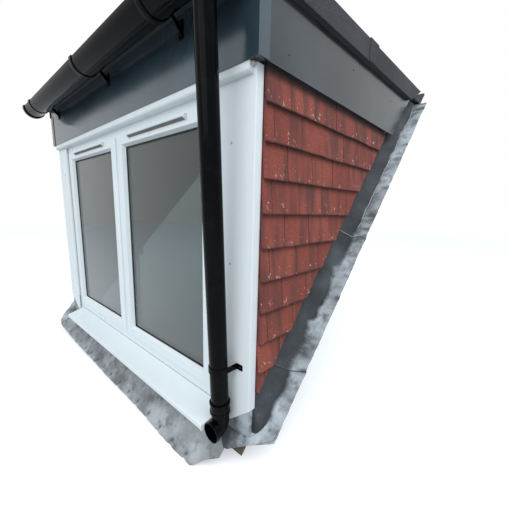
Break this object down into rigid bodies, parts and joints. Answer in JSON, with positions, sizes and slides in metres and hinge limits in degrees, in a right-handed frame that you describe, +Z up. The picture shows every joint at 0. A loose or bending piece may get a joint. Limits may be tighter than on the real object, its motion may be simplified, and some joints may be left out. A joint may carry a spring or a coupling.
{
  "type": "dormer window",
  "caption": "Flat-roofed dormer window with white opening lights, tile-hung cheeks, a black fascia, half-round gutter, leaning downpipe and lead flashings, for a pitched roof.",
  "frame": {"origin": "on the raking underside of the front sole plate, on the centreline of the dormer", "axes": "+X to the right seen from outside the window, +Y into the building, +Z up"},
  "size_m": [2.24, 1.8375, 1.7999],
  "materials": {
    "white_plastic": "semi-gloss white window plastic, slightly weathered",
    "black_board": "satin black woodgrain fascia board",
    "black_plastic": "glossy black gutter plastic",
    "clay_tile": "unglazed red-brown clay, streaked",
    "lead": "dull grey sheet lead with pale patina",
    "felt": "black roofing felt with mineral grit",
    "timber": "sawn softwood",
    "sheet_board": "strand board",
    "plaster": "painted plasterboard",
    "clear_glass": "clear float glass",
    "spacer_metal": "satin"
  },
  "bodies": {
    "root": {"side_panel_right": "white_plastic", "side_panel_left": "white_plastic", "corner_covers": "white_plastic", "head_trim": "white_plastic", "window_frame": "white_plastic", "opening_light_right": "white_plastic", "opening_light_left": "white_plastic", "vent_hoods": "white_plastic", "handles": "white_plastic", "sill": "white_plastic", "window_board": "white_plastic", "fascia_front": "black_board", "fascia_sides": "black_board", "fascia_corners": "black_board", "soffits": "black_board", "gutter": "black_plastic", "gutter_stop_ends": "black_plastic", "gutter_brackets": "black_plastic", "gutter_outlet": "black_plastic", "downpipe": "black_plastic", "pipe_shoe": "black_plastic", "pipe_clip": "black_plastic", "cheek_tiles": "clay_tile", "lead_apron": "lead", "side_lead_right": "lead", "side_lead_left": "lead", "felt_roof": "felt", "felt_verges": "felt", "front_sole_plate": "timber", "front_posts": "timber", "lintel": "timber", "cheek_soles": "timber", "cheek_walls": "timber", "roof_joists": "timber", "side_rails": "timber", "front_rail": "timber", "verge_kerbs": "timber", "tile_battens": "timber", "cheek_sheathings": "sheet_board", "roof_deck": "sheet_board", "rear_board": "sheet_board", "cheek_linings": "plaster", "ceiling_lining": "plaster", "panes": "clear_glass", "glazing_spacers": "spacer_metal"}
  },
  "joints": []
}
